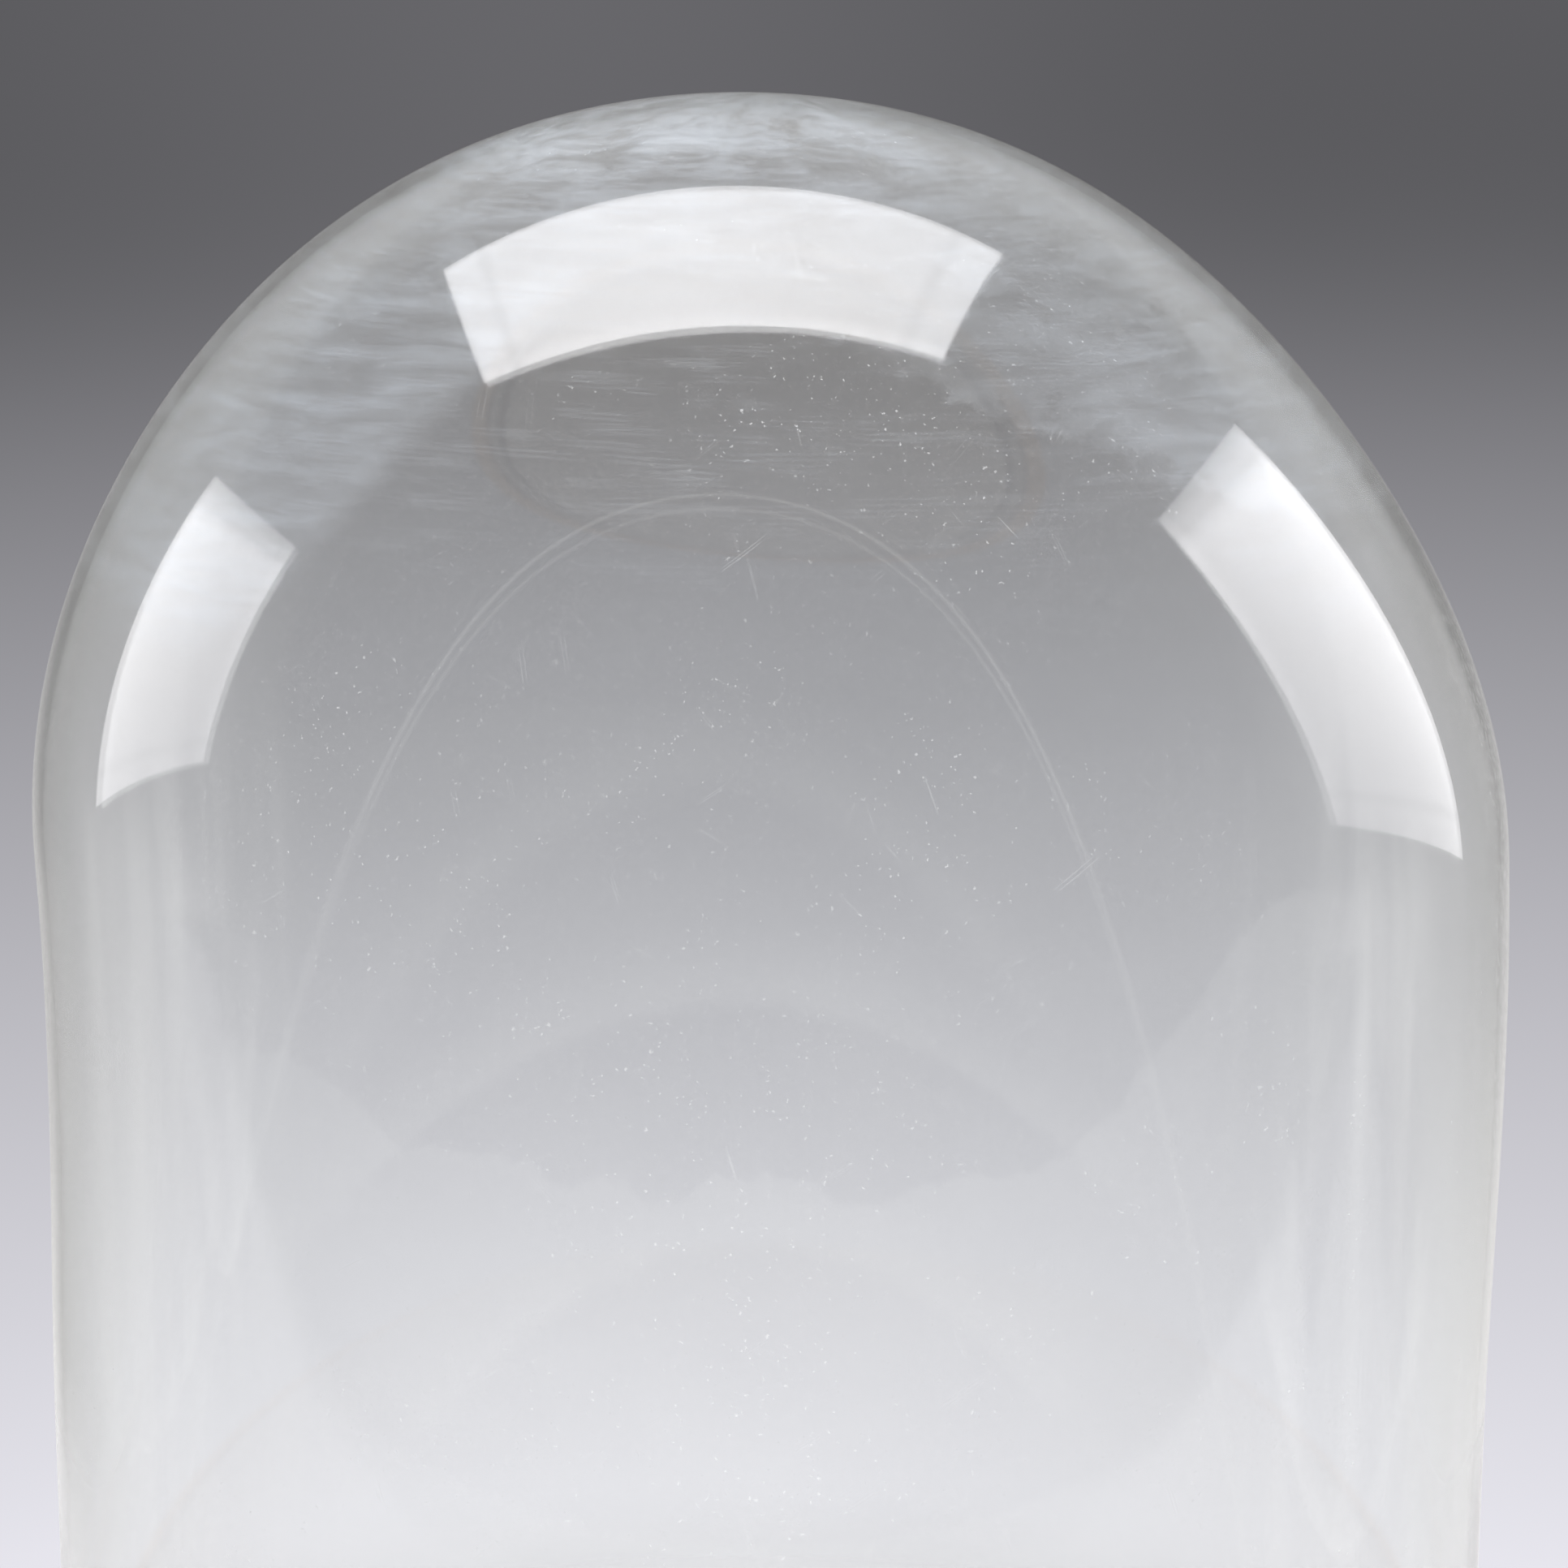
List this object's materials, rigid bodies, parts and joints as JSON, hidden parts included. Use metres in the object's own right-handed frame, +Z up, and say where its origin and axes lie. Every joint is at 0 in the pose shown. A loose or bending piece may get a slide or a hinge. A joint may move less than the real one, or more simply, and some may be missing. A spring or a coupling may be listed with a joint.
{
  "type": "bell jar dome",
  "caption": "Free-blown glass display dome with a rounded, slightly leaning crown, lifting off a turned wooden base with a raised velvet stage, a chenille cord and bun feet.",
  "frame": {"origin": "on the table, under the middle of the base", "axes": "+Z up through the crown; the crown leans towards -X; -Y is the front"},
  "size_m": [0.364, 0.364, 0.4412],
  "materials": {
    "glass": "clear free-blown glass with a thin uneven haze, wipe marks and fine scratches",
    "wood": "pale waxed limewood, turned, with visible grain",
    "velvet": "short-pile velvet",
    "chenille": "fuzzy chenille cord",
    "felt": "matted wool felt",
    "brass": "dulled brass"
  },
  "bodies": {
    "base": {"base_board": "wood", "base_moulding": "wood", "stage_board": "wood", "bun_foot_1": "wood", "bun_foot_2": "wood", "bun_foot_3": "wood", "stage_velvet": "velvet", "chenille_trim": "chenille", "rim_felt_ring": "felt", "foot_felt_1": "felt", "foot_felt_2": "felt", "foot_felt_3": "felt", "stage_screw_1": "brass", "stage_screw_2": "brass", "stage_screw_3": "brass", "stage_screw_4": "brass", "foot_screw_1": "brass", "foot_screw_2": "brass", "foot_screw_3": "brass"},
    "dome": {"glass_dome": "glass"}
  },
  "joints": [
    {"name": "dome_lift", "type": "slide", "parent": "base", "child": "dome", "axis": [0, 0, 1], "range_m": [0, 0.42]}
  ]
}
